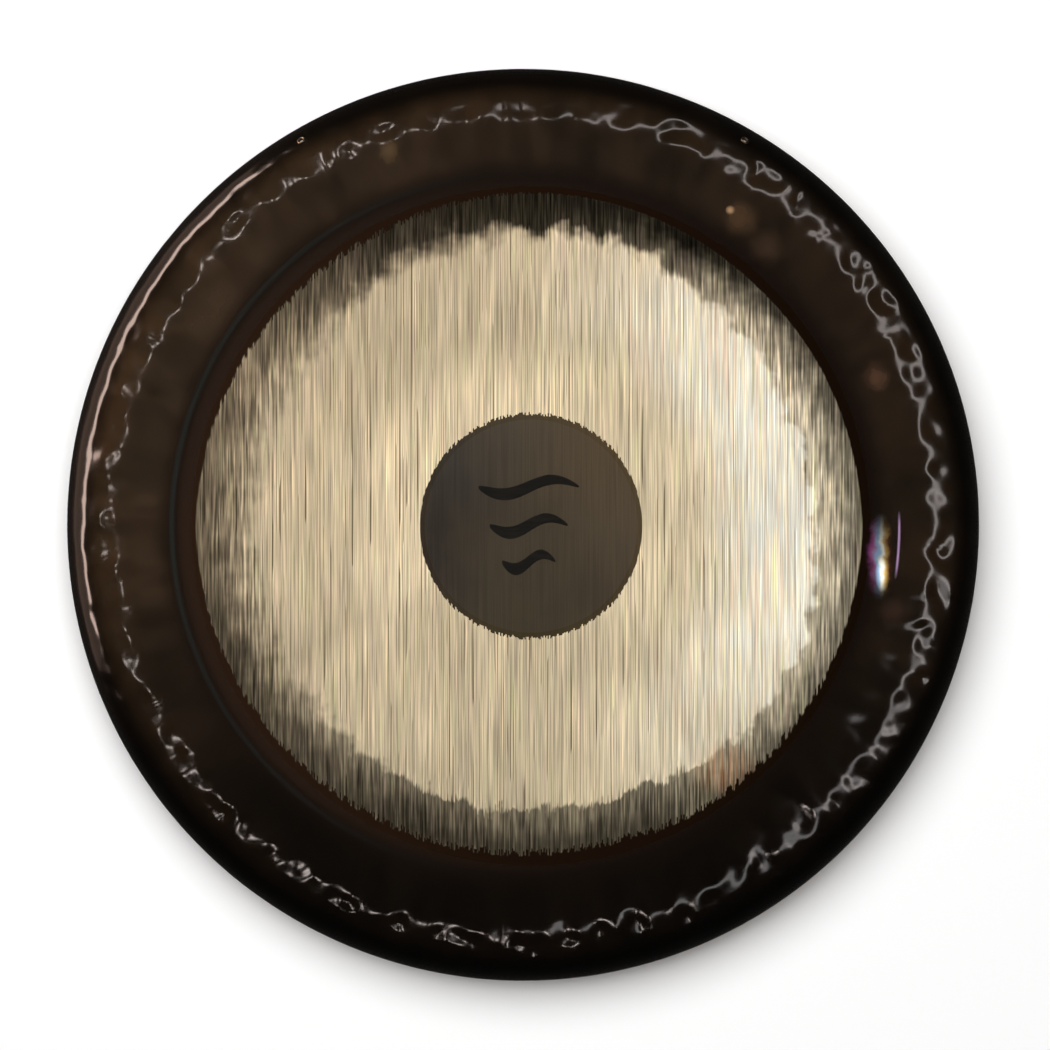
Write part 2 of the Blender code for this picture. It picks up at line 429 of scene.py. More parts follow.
# Places on the sheet, from the gong's axis: the painted rainbow highlight, copper blush and punch
# mark
RAINBOW_HIGHLIGHT_AT = (0.3150, 0.0, -0.0280)
COPPER = (0.176, 0.0, -0.214)
PUNCH = (0.008, 0, -0.001)


def new_material(name):
    material = bpy.data.materials.new(name)
    material.use_nodes = True
    tree = material.node_tree
    return material, tree, tree.nodes["Principled BSDF"]


class Graph:
    """Short words for building a node tree."""

    def __init__(self, tree):
        self.tree = tree

    def node(self, kind, inputs=(), **settings):
        made = self.tree.nodes.new("ShaderNode" + kind)
        for key, value in settings.items():
            setattr(made, key, value)
        for key, value in dict(inputs).items():
            self.put(made.inputs[key], value)
        return made

    def put(self, socket, value):
        if isinstance(value, bpy.types.NodeSocket):
            self.tree.links.new(value, socket)
        else:
            socket.default_value = value

    def math(self, operation, *values):
        made = self.node("Math", operation=operation)
        for socket, value in zip(made.inputs, values):
            self.put(socket, value)
        return made.outputs[0]

    def plus(self, a, b):
        return self.math("ADD", a, b)

    def minus(self, a, b):
        return self.math("SUBTRACT", a, b)

    def times(self, a, b):
        return self.math("MULTIPLY", a, b)

    def over(self, a, b):
        return self.math("DIVIDE", a, b)

    def absolute(self, value):
        return self.math("ABSOLUTE", value)

    def blend(self, factor, a, b):
        """The number a where the factor is 0, and b where it is 1."""
        made = self.node("Mix", data_type="FLOAT")
        for socket, value in zip((made.inputs[0], made.inputs[2], made.inputs[3]), (factor, a, b)):
            self.put(socket, value)
        return made.outputs[0]

    def vector(self, operation, a, b=None):
        made = self.node("VectorMath", operation=operation)
        self.put(made.inputs[0], a)
        if b is not None:
            self.put(made.inputs[1], b)
        return made.outputs["Value" if operation == "LENGTH" else "Vector"]

    def xyz(self, x, y, z):
        return self.node("CombineXYZ", {"X": x, "Y": y, "Z": z}).outputs[0]

    def noise(self, vector, scale=1.0, detail=2.0, rough=0.5):
        inputs = {"Vector": vector, "Scale": scale, "Detail": detail, "Roughness": rough}
        return self.node("TexNoise", inputs).outputs["Fac"]

    def strokes(self, x, z, width, length, seed, detail, rough=0.5):
        """Noise drawn out to about this width and length. Each seed gives another pattern."""
        place = self.xyz(self.over(x, width), seed, self.over(z, length))
        return self.noise(place, detail=detail, rough=rough)

    def between(self, value, low, high, out_low=0.0, out_high=1.0, kind="SMOOTHSTEP"):
        inputs = {"Value": value, "From Min": low, "From Max": high,
                  "To Min": out_low, "To Max": out_high}
        return self.node("MapRange", inputs, interpolation_type=kind).outputs[0]

    def mix(self, factor, a, b, blend="MIX"):
        made = self.node("Mix", data_type="RGBA", blend_type=blend)
        self.put(made.inputs[0], factor)
        self.put(made.inputs[6], a)
        self.put(made.inputs[7], b)
        return made.outputs[2]

    def ramp(self, factor, stops, interpolation="EASE"):
        made = self.node("ValToRGB")
        made.color_ramp.interpolation = interpolation
        while len(made.color_ramp.elements) < len(stops):
            made.color_ramp.elements.new(0.5)
        for element, (position, colour) in zip(made.color_ramp.elements, sorted(stops)):
            element.position = position
            element.color = colour if hasattr(colour, "__len__") else (colour, colour, colour, 1)
        self.put(made.inputs[0], factor)
        return made.outputs[0]

    def by_angle(self, turn, stops):
        """A value that goes round the gong through pairs of degrees from the top and value."""
        stops = sorted(stops)
        first, last = stops[0], stops[-1]
        gap = first[0] + 360 - last[0]
        at_top = last[1] + (first[1] - last[1]) * (360 - last[0]) / gap
        full = [(0, at_top), *stops, (360, at_top)] if first[0] > 0 else [*stops, (360, first[1])]
        return self.ramp(turn, [(angle / 360, value) for angle, value in full], "LINEAR")


def places(g):
    """Where a surface point is: its position, and x, z, radius and turn about the gong's axis."""
    position = g.node("TexCoord").outputs["Object"]
    about_gong = g.vector("SUBTRACT", position, (AXIS_X, 0, AXIS_Z))
    flat = g.vector("MULTIPLY", about_gong, (1, 0, 1))
    split = g.node("SeparateXYZ", {"Vector": flat})
    x, z = split.outputs["X"], split.outputs["Z"]
    turn = g.math("FRACT", g.plus(g.over(g.math("ARCTAN2", x, z), 2 * math.pi), 1.0))
    radius = g.vector("LENGTH", flat)
    return {"position": position, "flat": flat, "x": x, "z": z, "radius": radius, "turn": turn}


def brush_lines(g, p):
    """Vertical brush lines: 0 in the grooves to 1 on the crests."""
    x, z = p["x"], p["z"]
    wide = g.strokes(x, z, 0.0021, 0.12, 0.0, 2)
    thin = g.strokes(x, z, 0.00085, 0.075, 3.0, 1)
    return g.plus(g.times(wide, 0.35), g.times(thin, 0.65))


def scratches(g, p):
    """Single deeper scratches, which come in crowds, and the lit edge right of each: 0 to 1."""
    crowd = g.strokes(p["x"], p["z"], 0.035, 0.20, 2.0, 2)
    least = g.between(crowd, 0.36, 0.62, 0.56, 0.42, "LINEAR")
    places_x = [g.plus(p["x"], shift) for shift in (0.0, -0.0013)]
    fields = [g.strokes(x, p["z"], 0.0032, 1.40, 7.0, 0) for x in places_x]
    # A line stays thin only where the field crosses its middle value steeply
    steep = g.between(g.absolute(g.minus(fields[0], fields[1])), 0.025, 0.07)
    found = []
    for x, field in zip(places_x, fields):
        line = g.between(g.absolute(g.minus(field, 0.5)), 0.010, 0.060, 1.0, 0.0)
        part = g.strokes(x, p["z"], 0.0040, 0.075, 13.0, 0)
        part = g.between(g.minus(part, least), 0.0, 0.06)
        found.append(g.times(g.times(line, steep), part))
    return found[0], g.times(found[1], g.minus(1.0, found[0]))


def stroke_jag(g, p, low, high):
    """How far each brush stroke overshoots a masked edge, along the stroke."""
    column = g.math("FLOOR", g.over(p["x"], 0.0012))
    block = g.node("TexWhiteNoise", {"W": column}, noise_dimensions="1D").outputs["Value"]
    smooth = g.noise(g.xyz(g.over(p["x"], 0.004), 9.0, 0.0), detail=2)
    both = g.plus(g.times(block, 0.55), g.times(smooth, 0.45))
    return g.between(both, 0.1, 0.9, low, high, "LINEAR")


def finish_radius(g, p, jag=None):
    """Distance from the finish's centre, where jag moves the stroke ends along Z."""
    from_centre = g.vector("SUBTRACT", p["flat"], (FINISH_X, 0, FINISH_Z))
    away = g.node("SeparateXYZ", {"Vector": from_centre})
    z = g.absolute(away.outputs["Z"])
    if jag is not None:
        z = g.math("MAXIMUM", g.plus(z, jag), 0.0)
    return g.vector("LENGTH", g.xyz(away.outputs["X"], 0.0, z))


def brushed_colour(g, p, radius, lines, scratch, lit_edge, right):
    """The bare metal: straw with pinkish and greenish strokes, painted lighter or darker round the
    gong, and a painted near-white highlight to the right.
    """
    x, z, turn = p["x"], p["z"], p["turn"]
    hues = g.strokes(x, z, 0.0040, 0.10, 4.0, 2)
    pale = g.mix(right, g.ramp(hues, STRAW, "LINEAR"), g.ramp(hues, WHITE, "LINEAR"))
    patches = g.strokes(x, z, 0.045, 0.10, 0.0, 3, rough=0.6)
    # Painted light and shade: the zone's paleness is set round the gong, by the disc and further
    # out
    inner, outer = g.by_angle(turn, INNER_LEVEL), g.by_angle(turn, OUTER_LEVEL)
    level = g.between(patches, 0.35, 0.65, 0.87, 1.04, "LINEAR")
    level = g.times(level, g.blend(g.between(radius, 0.125, 0.175), inner, outer))
    level = g.times(level, g.between(lines, 0.32, 0.68, 0.50, 1.50, "LINEAR"))
    level = g.times(level, g.between(lit_edge, 0.0, 1.0, 1.0, 1.26, "LINEAR"))
    bright = g.mix(1.0, pale, level, "MULTIPLY")
    return g.mix(scratch, bright, rgb(84, 72, 47))


def brushed_material():
    """The bright zone: vertical brush strokes, with painted shade towards its border."""
    material, tree, shader = new_material("brushed_nickel_silver")
    g = Graph(tree)
    p = places(g)
    x, z, turn = p["x"], p["z"], p["turn"]
    lines = brush_lines(g, p)
    scratch, lit_edge = scratches(g, p)
    radius = finish_radius(g, p)
    # Painted shade towards the border: a lobed step down, then a fade
    lobes = g.strokes(x, z, 0.024, 0.021, 1.0, 2)
    lobed = g.plus(radius, g.times(g.minus(lobes, 0.5), 0.036))
    jagged = finish_radius(g, p, stroke_jag(g, p, -0.004, 0.004))
    ragged = g.plus(lobed, g.minus(jagged, radius))
    step_at = g.by_angle(turn, STEP_AT)
    past_step = g.over(g.minus(ragged, step_at), g.by_angle(turn, STEP_WIDTH))
    step = g.between(past_step, -0.5, 0.5)
    fade_share = g.over(g.minus(lobed, step_at), g.by_angle(turn, FADE_WIDTH))
    fade = g.between(fade_share, 0.1, 1.0)
    painted_shade = g.times(g.blend(step, 1.0, g.by_angle(turn, STEP_TO)),
                   g.blend(fade, 1.0, g.by_angle(turn, FADE_TO)))
    # The strokes break the painted shade up into short dark and bright lines
    short = g.strokes(x, z, 0.0022, 0.040, 11.0, 1)
    bitten = g.ramp(short, [(0.36, 0.34), (0.46, 0.80), (0.54, 1.10), (0.66, 1.90)], "LINEAR")
    near = g.between(g.minus(lobed, step_at), -0.016, 0.014, 0.0, 0.85)
    painted_shade = g.times(painted_shade, g.blend(near, 1.0, bitten))
    # A painted highlight: the strokes turn near white towards the right, less so past the painted
    # shade's step
    right = g.times(g.between(radius, 0.135, 0.205), g.by_angle(turn, HIGHLIGHT_SHARE))
    right = g.times(right, g.minus(1.0, g.times(step, 0.75)))
    scratch = g.times(scratch, g.between(right, 0.0, 1.0, 0.90, 0.35, "LINEAR"))
    bare = brushed_colour(g, p, radius, lines, scratch, lit_edge, right)
    colour = g.mix(1.0, bare, painted_shade, "MULTIPLY")
    from_copper = g.vector("MULTIPLY", g.vector("SUBTRACT", p["flat"], COPPER), (0.8, 0, 1))
    copper = g.times(g.between(g.vector("LENGTH", from_copper), 0.006, 0.030, 1.0, 0.0),
                     g.between(lines, 0.46, 0.58, 0.0, 0.55))
    colour = g.mix(copper, colour, rgb(190, 128, 80))
    # The mesh goes a little past the finish's own borders, to the disc's and the band's colours
    disc_edge = finish_radius(g, p, stroke_jag(g, p, -0.0035, 0.0015))
    in_disc = g.between(disc_edge, DISC_RADIUS - 0.0003, DISC_RADIUS + 0.0003, 1.0, 0.0)
    jag = g.times(stroke_jag(g, p, 0.0, 0.011), g.by_angle(turn, END_JAG))
    ends = g.plus(finish_radius(g, p, jag), g.times(g.by_angle(turn, END_SHORT), 0.005))
    past_ring = g.between(ends, RING_RADIUS - 0.0012, RING_RADIUS + 0.0006)
    metal = g.minus(1.0, g.math("MAXIMUM", in_disc, past_ring))
    colour = g.mix(in_disc, colour, disc_colour(g, p))
    colour = g.mix(past_ring, colour, band_colour(g, p))
    g.put(shader.inputs["Base Color"], colour)
    g.put(shader.inputs["Metallic"], metal)
    brushed_rough = g.plus(0.40, g.times(lines, 0.16))
    g.put(shader.inputs["Roughness"], g.blend(past_ring, brushed_rough, 0.16))
    shader.inputs["Anisotropic"].default_value = 0.5
    shader.inputs["Specular IOR Level"].default_value = 0.0
    g.put(shader.inputs["Tangent"], g.xyz(1.0, 0.0, 0.0))
    height = g.times(g.minus(lines, g.times(scratch, 0.3)), metal)
    bump = g.node("Bump", {"Height": height, "Strength": 0.30, "Distance": 0.0008})
    g.put(shader.inputs["Normal"], bump.outputs[0])
    return material


def disc_lines(g, p):
    """The disc's faint brush strokes."""
    return g.strokes(p["x"], p["z"], 0.0014, 0.10, 5.0, 2)


def disc_colour(g, p):
    """Bluish grey at the upper left, brown at the right and olive at the bottom."""
    lines = disc_lines(g, p)
    cloud = g.noise(p["flat"], scale=22, detail=2)
    tint = g.ramp(p["turn"], DISC_TINT, "LINEAR")
    middle = g.between(p["radius"], 0.0, 0.09)
    tint = g.mix(middle, rgb(80, 70, 53), tint)
    tint = g.mix(g.between(cloud, 0.35, 0.65, 0.0, 0.25), tint, rgb(96, 84, 58))
    return g.mix(1.0, tint, g.ramp(lines, [(0.3, 0.20), (0.7, 0.27)]), "MULTIPLY")


def disc_material():
    material, tree, shader = new_material("oxidised_centre_disc")
    g = Graph(tree)
    p = places(g)
    away = g.vector("LENGTH", g.vector("SUBTRACT", p["flat"], PUNCH))
    punch = g.between(away, 0.0005, 0.0014, 1.0, 0.0)
    g.put(shader.inputs["Base Color"], g.mix(punch, disc_colour(g, p), rgb(170, 150, 100)))
    shader.inputs["Metallic"].default_value = 0.0
    lines = disc_lines(g, p)
    g.put(shader.inputs["Roughness"], g.plus(0.42, g.times(lines, 0.15)))
    shader.inputs["Specular IOR Level"].default_value = 0.08
    height = g.minus(lines, g.times(punch, 3.0))
    bump = g.node("Bump", {"Height": height, "Strength": 0.15, "Distance": 0.0003})
    g.put(shader.inputs["Normal"], bump.outputs[0])
    return material


def band_colour(g, p):
    """Brown-black scale, painted lighter or darker round the gong: redder by the bright zone, past
    a thin teal line, and painted shade to black at the rim, with painted glints and a rainbow
    highlight.
    """
    turn, radius = p["turn"], p["radius"]
    # Painted light and shade: the band lighter at the left and top, near black at the lower right
    level = g.by_angle(turn, BAND_PAINTED_LIGHT)
    streaks = g.noise(g.xyz(g.times(turn, 110.0), g.over(radius, 0.06), 0.0), detail=3)
    cloud = g.noise(p["flat"], scale=14, detail=3)
    brown = g.mix(g.between(cloud, 0.35, 0.65), rgb(66, 51, 34), rgb(82, 61, 41))
    colour = g.mix(1.0, brown, level, "MULTIPLY")
    colour = g.mix(1.0, colour, g.ramp(streaks, [(0.3, 0.585), (0.7, 0.895)]), "MULTIPLY")
    # Painted shade: darker towards the rim's edge, where the shoulder turns away from the light
    colour = g.mix(1.0, colour, g.between(radius, 0.372, 0.394, 1.0, 0.12), "MULTIPLY")
    flange = g.mix(1.0, brown, g.ramp(streaks, [(0.3, 0.16), (0.7, 0.42)]), "MULTIPLY")
    depth = g.node("SeparateXYZ", {"Vector": p["position"]}).outputs["Y"]
    behind = g.between(depth, BAND_Y + 0.033, BAND_Y + SHOULDER_RADIUS)
    colour = g.mix(behind, colour, flange)
    valley = g.mix(1.0, rgb(34, 22, 13), g.by_angle(turn, VALLEY_LEVEL), "MULTIPLY")
    warm = g.times(g.between(radius, 0.300, 0.310, 1.0, 0.0), g.by_angle(turn, WARM_SHARE))
    valley = g.mix(warm, valley, rgb(22, 13, 7))
    colour = g.mix(g.between(radius, 0.306, 0.330, 1.0, 0.0), colour, valley)
    line = g.absolute(g.minus(radius, 0.3105))
    line = g.times(g.between(line, 0.0, 0.0038, 0.6, 0.0), g.by_angle(turn, TEAL_SHARE))
    colour = g.mix(line, colour, rgb(18, 24, 23))
    uneven = g.times(g.minus(g.noise(p["flat"], scale=70, detail=2), 0.5), 0.9)
    # Painted glints and soft warm sheen on the band
    for x, z, size, glow in PAINTED_GLINTS:
        away = g.over(g.vector("LENGTH", g.vector("SUBTRACT", p["flat"], (x, 0, z))), size)
        colour = g.mix(g.between(g.plus(away, uneven), 0.0, 1.0, 0.6, 0.0), colour, glow)
    return rainbow_highlight(g, p, colour)


def rainbow_highlight(g, p, colour):
    """A painted highlight with rainbow tints beside the bright zone, and its thin lilac edge, a
    painted reflection.
    """
    away = g.node("SeparateXYZ", {"Vector": g.vector("SUBTRACT", p["flat"], RAINBOW_HIGHLIGHT_AT)})
    x, z = away.outputs["X"], away.outputs["Z"]
    ripple = g.times(g.minus(g.noise(p["flat"], scale=90, detail=2), 0.5), 0.010)
    hue = g.ramp(g.between(g.plus(x, ripple), -0.013, 0.013, 0, 1, "LINEAR"), RAINBOW)
    core_x, core_z = g.over(g.minus(x, 0.002), 0.008), g.over(g.plus(z, 0.014), 0.020)
    core = g.vector("LENGTH", g.xyz(core_x, 0.0, core_z))
    wide_x, wide_z = g.over(g.plus(x, ripple), 0.014), g.over(z, 0.040)
    wide = g.vector("LENGTH", g.xyz(wide_x, 0.0, wide_z))
    glow = g.math("MAXIMUM", g.between(core, 0.1, 1.0, 0.52, 0.0),
                  g.between(wide, 0.1, 1.0, 0.15, 0.0))
    colour = g.mix(glow, colour, hue)
    bow = g.absolute(g.minus(p["radius"], 0.3325))
    bow = g.times(g.between(bow, 0.0, 0.0016, 0.5, 0.0),
                  g.between(g.absolute(g.minus(z, 0.010)), 0.014, 0.032, 1.0, 0.0))
    bow = g.times(bow, g.math("GREATER_THAN", p["x"], 0.0))
    return g.mix(bow, colour, rgb(150, 120, 160))


def dark_material(name):
    """The outer band and the rim: glossy scale, a little duller at the very rim."""
    material, tree, shader = new_material(name)
    g = Graph(tree)
    p = places(g)
    g.put(shader.inputs["Base Color"], band_colour(g, p))
    grain = g.noise(p["position"], scale=900, detail=2)
    soft = g.between(p["radius"], 0.396, 0.402, 0.0, 0.14)
    g.put(shader.inputs["Roughness"], g.plus(soft, g.plus(0.10, g.times(grain, 0.08))))
    shader.inputs["Specular IOR Level"].default_value = BAND_SPECULAR
    pocks = g.times(g.noise(p["position"], scale=42, detail=0), g.by_angle(p["turn"], POCKS))
    pocks = g.times(pocks, g.between(p["radius"], 0.340, 0.354))
    pocks = g.times(pocks, g.between(p["radius"], 0.374, 0.386, 1.0, 0.0))
    pocked = g.node("Bump", {"Height": pocks, "Strength": 1.0, "Distance": 0.0024})
    fine = g.noise(p["position"], scale=260, detail=3)
    bump = g.node("Bump", {"Height": fine, "Strength": 0.06, "Distance": 0.0004,
                           "Normal": pocked.outputs[0]})
    g.put(shader.inputs["Normal"], bump.outputs[0])
    return material


def back_material():
    """Hammered brown scale, turned in fine rings, with rubbed brassy places and darker clouds."""
    material, tree, shader = new_material("oxidised_back")
    g = Graph(tree)
    p = places(g)
    cloud = g.noise(p["position"], scale=9, detail=5, rough=0.6)
    rings = g.noise(g.xyz(g.over(p["radius"], 0.0032), 0.0, g.times(p["turn"], 5.0)), detail=3)
    browns = ((0.3, rgb(48, 34, 24)), (0.5, rgb(82, 60, 40)), (0.7, rgb(118, 90, 58)))
    colour = g.ramp(cloud, browns)
    colour = g.mix(g.between(rings, 0.35, 0.65, 0.0, 0.5), colour, rgb(38, 29, 22))
    rubbed = g.noise(p["position"], scale=24, detail=5, rough=0.65)
    rubbed = g.times(g.between(rubbed, 0.54, 0.68), g.between(rings, 0.40, 0.62, 0.7, 0.05))
    colour = g.mix(rubbed, colour, rgb(146, 114, 74))
    g.put(shader.inputs["Base Color"], colour)
    g.put(shader.inputs["Metallic"], g.plus(0.35, g.times(rubbed, 0.4)))
    g.put(shader.inputs["Roughness"], g.plus(0.26, g.times(cloud, 0.25)))
    height = g.plus(rings, g.times(g.noise(p["position"], scale=60, detail=2), 2.0))
    bump = g.node("Bump", {"Height": height, "Strength": 0.25, "Distance": 0.0006})
    g.put(shader.inputs["Normal"], bump.outputs[0])
    return material


def eyelet_material():
    material, tree, shader = new_material("eyelet_metal")
    g = Graph(tree)
    position = g.node("TexCoord").outputs["Object"]
    grain = g.noise(position, scale=1800, detail=3)
    colour = g.ramp(grain, [(0.3, rgb(92, 83, 70)), (0.7, rgb(146, 134, 116))])
    g.put(shader.inputs["Base Color"], colour)
    shader.inputs["Metallic"].default_value = 1.0
    g.put(shader.inputs["Roughness"], g.plus(0.22, g.times(grain, 0.15)))
    bump = g.node("Bump", {"Height": grain, "Strength": 0.1, "Distance": 0.0002})
    g.put(shader.inputs["Normal"], bump.outputs[0])
    return material


def paint_material():
    material, tree, shader = new_material("black_paint")
    g = Graph(tree)
    position = g.node("TexCoord").outputs["Object"]
    bristle = g.noise(g.vector("MULTIPLY", position, (40, 900, 900)), detail=3)
    colour = g.ramp(bristle, [(0.35, rgb(7, 7, 5)), (0.7, rgb(14, 12, 9))])
    g.put(shader.inputs["Base Color"], colour)
    g.put(shader.inputs["Roughness"], g.plus(0.45, g.times(bristle, 0.2)))
    shader.inputs["Specular IOR Level"].default_value = 0.1
    bump = g.node("Bump", {"Height": bristle, "Strength": 0.2, "Distance": 0.0002})
    g.put(shader.inputs["Normal"], bump.outputs[0])
    return material


def mesh_object(name, bm, material, smooth_angle):
    bmesh.ops.recalc_face_normals(bm, faces=bm.faces)
    mesh = bpy.data.meshes.new(name)
    bm.to_mesh(mesh)
    bm.free()
    mesh.shade_smooth()
    mesh.set_sharp_from_angle(angle=math.radians(smooth_angle))
    mesh.materials.append(material)
    made = bpy.data.objects.new(name, mesh)
    bpy.context.scene.collection.objects.link(made)
    return made


def eyelet(name, material):
    """A rolled eyelet, turned about the hole's axis: a round lip in front and one behind."""
    low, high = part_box(name)
    axis = Vector(MOUNTS["eyelet_face_" + name.rsplit("_", 1)[1]]["axis"])
    bore, barrel, flange = 0.0021, 0.0026, 0.0038
    half_length = 0.0016
    lip = 0.00045
    lip_rise = lip * 1.4
    arc_steps = 12
    seat = half_length - lip
    middle, reach = (bore + flange) / 2, (flange - bore) / 2
    arc = [math.pi * i / arc_steps for i in range(arc_steps + 1)]
    front = [(middle - reach * math.cos(a), seat + lip_rise * math.sin(a)) for a in arc]
    front += [(flange, seat - 0.0001), (barrel + 0.0002, seat - 0.0002), (barrel, seat - 0.0004)]
    points = front + [(radius, -height) for radius, height in reversed(front)]
    bm = bmesh.new()
    verts = [bm.verts.new((radius, 0, height)) for radius, height in points]
    edges = [bm.edges.new(pair) for pair in zip(verts, verts[1:] + verts[:1])]
    bmesh.ops.spin(bm, geom=verts + edges, cent=(0, 0, 0), axis=(0, 0, 1),
                   angle=2 * math.pi, steps=64, use_merge=True)
    bmesh.ops.remove_doubles(bm, verts=bm.verts, dist=1e-6)
    turned = axis.to_track_quat("Z", "Y").to_matrix().to_4x4()
    bm.transform(Matrix.Translation((low + high) / 2) @ turned)
    made = mesh_object("visual_" + name, bm, material, 60)
    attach(made, "root")
    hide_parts(name)
    return made


def face_front(x, z):
    """Depth of the hammered face's front at a place, in the frame."""
    across, up = x - AXIS_X, z - AXIS_Z
    radius = np.hypot(across, up)
    return BAND_Y + face_depth(radius) - dent_depth(across, up, radius, np.arctan2(up, across))


def ripple(which, material):
    """One painted stroke in its CAD node's place: a wave with rounded ends and uneven sides."""
    node = "painted_ripple_" + which
    low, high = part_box(node)
    middle_x = (low.x + high.x) / 2
    middle_z = (low.z + high.z) / 2
    half_length = (high.x - low.x) / 2
    half_width, swing = 0.0062, 0.0065
    steps, across = 160, 10
    rng = np.random.default_rng(len(which))
    phases = rng.uniform(0, 2 * math.pi, 8)
    t = -np.cos(np.pi * np.arange(steps + 1) / steps)[:, None]
    s = np.linspace(-1, 1, across + 1)[None, :]
    wobble = sum(np.sin(k * 5.3 * t + phases[k]) / (k + 2) for k in range(8)) * 0.00022
    half = half_width * np.sqrt(np.maximum(1 - t * t, 0)) * (1 - 0.25 * t) + wobble * (1 - t * t)
    x = middle_x + t * half_length + 0 * s
    z = middle_z + swing * np.sin(np.pi * t) + s * half
    rise = 0.00028 * (1 - s ** 6) * np.minimum(1, (1 - t * t) * 12)
    y = face_front(x, z) + 0.0001 - rise
    bm = bmesh.new()
    grid = [[bm.verts.new(place) for place in row] for row in np.stack([x, y, z], axis=-1)]
    for lower, upper in zip(grid, grid[1:]):
        for j in range(across):
            bm.faces.new((lower[j], upper[j], upper[j + 1], lower[j + 1]))
    bmesh.ops.remove_doubles(bm, verts=bm.verts, dist=1e-7)
    made = mesh_object("visual_" + node, bm, material, 80)
    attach(made, "root")
    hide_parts(node)
    return made


# The studio

# Small soft boxes that the hammer marks pick up: degrees clockwise from the top, distance from
# the gong's axis, and side
GLINTS = ((173, 1.40, 0.13), (193, 1.32, 0.14), (214, 1.45, 0.13), (235, 1.36, 0.14),
          (258, 1.30, 0.11), (280, 1.35, 0.11), (302, 1.32, 0.14), (323, 1.42, 0.16),
          (343, 1.30, 0.13))
GLINT_RADIANCE = 32.0
# How far in front of the gong the linked soft boxes stand
BOX_Y = -2.0
# The stage: wall behind the rim, floor below it, and half their widths
WALL_GAP = 0.040
FLOOR_GAP = 0.075
WALL_HALF = 1.1
WALL_TOP = 0.75
FLOOR_HALF = 8
# The camera: distance from the rim's widest place, place across and up, and how much wider
# the picture is than the gong
CAMERA_DISTANCE = 5.0
CAMERA_X, CAMERA_Z = 0.0017, -0.0002
FRAME_TO_GONG = 1.151821


def panel_light(name, place, width, height, radiance, colour=(1, 1, 1), lit=None, shows=True):
    """A soft box that looks at the gong's middle. The radiance is what its reflection shows."""
    light = bpy.data.lights.new(name, "AREA")
    light.shape = "RECTANGLE" if shows else "ELLIPSE"
    light.size = width
    light.size_y = height
    light.energy = radiance * math.pi * width * height
    light.color = colour
    made = bpy.data.objects.new(name, light)
    made.location = Vector((AXIS_X, BAND_Y, AXIS_Z)) + Vector(place)
    towards = Vector((AXIS_X, BAND_Y, AXIS_Z)) - made.location
    made.rotation_euler = towards.to_track_quat("-Z", "Y").to_euler()
    made.visible_camera = False
    made.visible_glossy = shows
    if lit is not None:
        receivers = bpy.data.collections.new(name + "_lights")
        for piece in lit:
            receivers.objects.link(piece)
        made.light_linking.receiver_collection = receivers
    bpy.context.scene.collection.objects.link(made)
    return made


def plane(name, corners, material):
    """A stage plane that the gong neither mirrors nor takes light from."""
    mesh = bpy.data.meshes.new(name)
    mesh.from_pydata(corners, [], [(0, 1, 2, 3)])
    mesh.materials.append(material)
    made = bpy.data.objects.new(name, mesh)
    bpy.context.scene.collection.objects.link(made)
    made.visible_glossy = False
    made.visible_diffuse = False
    return made


def backdrop(wall_y, floor_z):
    """A white wall that takes the gong's shadow, and is clear from behind to show the back."""
    material, tree, shader = new_material("backdrop_white")
    shader.inputs["Base Color"].default_value = (0.87, 0.87, 0.87, 1)
    shader.inputs["Emission Color"].default_value = (1, 1, 1, 1)
    shader.inputs["Emission Strength"].default_value = 0.03
    shader.inputs["Roughness"].default_value = 1.0
    shader.inputs["Specular IOR Level"].default_value = 0.0
    g = Graph(tree)
    clear = g.node("BsdfTransparent").outputs[0]
    behind = g.node("NewGeometry").outputs["Backfacing"]
    mixed = g.node("MixShader", {0: behind, 1: shader.outputs[0], 2: clear})
    g.put(tree.nodes["Material Output"].inputs["Surface"], mixed.outputs[0])
    low, high = (-WALL_HALF, floor_z), (WALL_HALF, WALL_TOP)
    corners = ((low[0], low[1]), (high[0], low[1]), (high[0], high[1]), (low[0], high[1]))
    wall = plane("backdrop", [(x, wall_y, z) for x, z in corners], material)
    wall.visible_shadow = False


def pale_floor(floor_z):
    material, _, shader = new_material("floor_pale")
    shader.inputs["Base Color"].default_value = (0.82, 0.81, 0.79, 1)
    shader.inputs["Emission Color"].default_value = (0.97, 0.96, 0.94, 1)
    shader.inputs["Emission Strength"].default_value = 0.80
    shader.inputs["Roughness"].default_value = 0.9
    signs = ((-1, -1), (1, -1), (1, 1), (-1, 1))
    plane("floor", [(FLOOR_HALF * x, FLOOR_HALF * y, floor_z) for x, y in signs], material)


def surroundings():
    """White where the camera sees past the stage, and nearly black where the gong mirrors it."""
    world = bpy.data.worlds.new("studio")
    world.use_nodes = True
    bpy.context.scene.world = world
    g = Graph(world.node_tree)
    seen = g.node("LightPath").outputs["Is Camera Ray"]
    background = world.node_tree.nodes["Background"]
    g.put(background.inputs["Color"], g.mix(seen, (0.035, 0.033, 0.03, 1), (1, 1, 1, 1)))


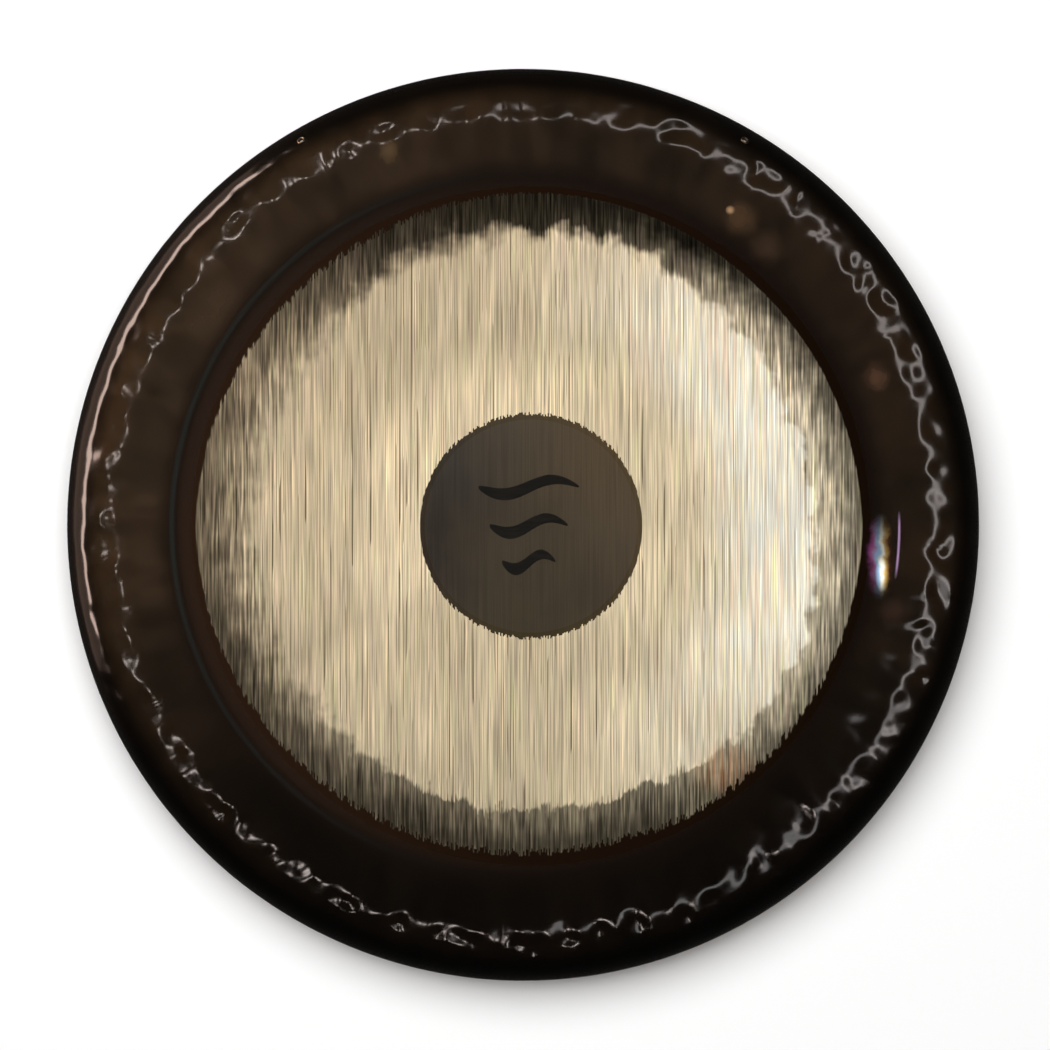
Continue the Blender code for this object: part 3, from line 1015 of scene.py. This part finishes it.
def lights(gong, brushed, back):
    """Each light: name, place from the gong's middle, width, height, radiance and colour."""
    pink = (1.0, 0.91, 0.88)
    panel_light("key", (-0.72, -5.55, 1.18), 5.2, 5.2, 5.5, shows=False)
    panel_light("front", (-0.10, -5.6, 0.20), 2.2, 2.2, 3.0, shows=False)
    panel_light("back_fill", (-0.8, 2.6, 1.2), 2.0, 2.0, 5.0, shows=False)
    panel_light("side_fill", (2.4, 0.6, 0.5), 1.6, 1.6, 6.0, shows=False)
    panel_light("back_window", (-2.0, 2.4, 1.6), 1.2, 1.6, 9.0, lit=[back])
    panel_light("back_strip", (1.6, 2.2, -0.4), 0.3, 2.4, 12.0, lit=[back])
    panel_light("right_strip", (1.36, BOX_Y, 0.25), 0.23, 2.1, 8.0, pink, lit=gong)
    panel_light("top_strip", (0.68, BOX_Y, 1.36), 1.20, 0.21, 8.0, pink, lit=gong)
    slanted = panel_light("lower_right", (0.82, BOX_Y, -0.86), 0.28, 1.2, 4.5,
                          (1.0, 0.96, 0.95), lit=gong)
    slanted.rotation_euler.rotate_axis("Z", math.radians(-45))
    for degrees, away, side in GLINTS:
        turn = math.radians(degrees)
        place = (away * math.sin(turn), BOX_Y, away * math.cos(turn))
        panel_light(f"glint_{degrees}", place, side, side, GLINT_RADIANCE,
                    (1.0, 0.87, 0.81), lit=gong)
    panel_light("left_strip", (-2.0, -0.42, 0.72), 0.42, 2.9, 16.0, (1.0, 0.74, 0.63), lit=gong)
    panel_light("left_halo", (-2.0, 0.12, 0.6), 1.50, 3.0, 0.9, (1.0, 0.66, 0.52), lit=gong)
    face_panel = panel_light("face_panel", (0.2, BOX_Y, 0.0), 1.3, 1.6, 1.62,
                             (0.92, 0.96, 1.0), lit=[brushed])
    face_panel.visible_diffuse = False


def camera():
    """It looks straight at the gong, level with its middle."""
    data = bpy.data.cameras.new("camera")
    data.sensor_width = 36
    data.lens = data.sensor_width * CAMERA_DISTANCE / (RIM_RADIUS * 2 * FRAME_TO_GONG)
    data.clip_end = 60
    made = bpy.data.objects.new("camera", data)
    rim_y = BAND_Y + SHOULDER_RADIUS
    made.location = (AXIS_X + CAMERA_X, rim_y - CAMERA_DISTANCE, AXIS_Z + CAMERA_Z)
    made.rotation_euler = (math.pi / 2, 0, 0)
    bpy.context.scene.collection.objects.link(made)
    bpy.context.scene.camera = made
    bpy.context.scene.view_settings.view_transform = "Standard"


def main():
    brushed = sheet_piece("brushed_face", spaced(DISC_BORDER, RING_BORDER, 0.0034),
                          FACE_SEGMENTS, brushed_material())
    disc = sheet_piece("centre_disc", spaced(0, DISC_BORDER, 0.004),
                       FACE_SEGMENTS, disc_material())
    band = sheet_piece("dark_outer_band", spaced(RING_BORDER, BAND_BORDER, 0.0016),
                       RIM_SEGMENTS, dark_material("dark_oxide_rim"))
    rim = sheet_piece("turned_back_rim", spaced(BAND_BORDER, SHEET_END, 0.0022),
                      RIM_SEGMENTS, dark_material("dark_oxide_flange"), edge=True)
    back_rows = [*spaced(0, RING_BORDER, 0.006), *spaced(RING_BORDER, SHEET_END, 0.0028)[1:]]
    back = sheet_piece("gong_back", back_rows,
                       FACE_SEGMENTS, back_material(), back=True)
    metal = eyelet_material()
    eyelets = [eyelet("hole_eyelet_" + side, metal) for side in ("left", "right")]
    paint = paint_material()
    mark = [ripple(which, paint) for which in ("upper", "middle", "lower")]
    floor_z = PLATE_LOW.z - FLOOR_GAP
    backdrop(PLATE_HIGH.y + WALL_GAP, floor_z)
    pale_floor(floor_z)
    surroundings()
    lights([brushed, disc, band, rim, back, *eyelets, *mark], brushed, back)
    camera()


main()
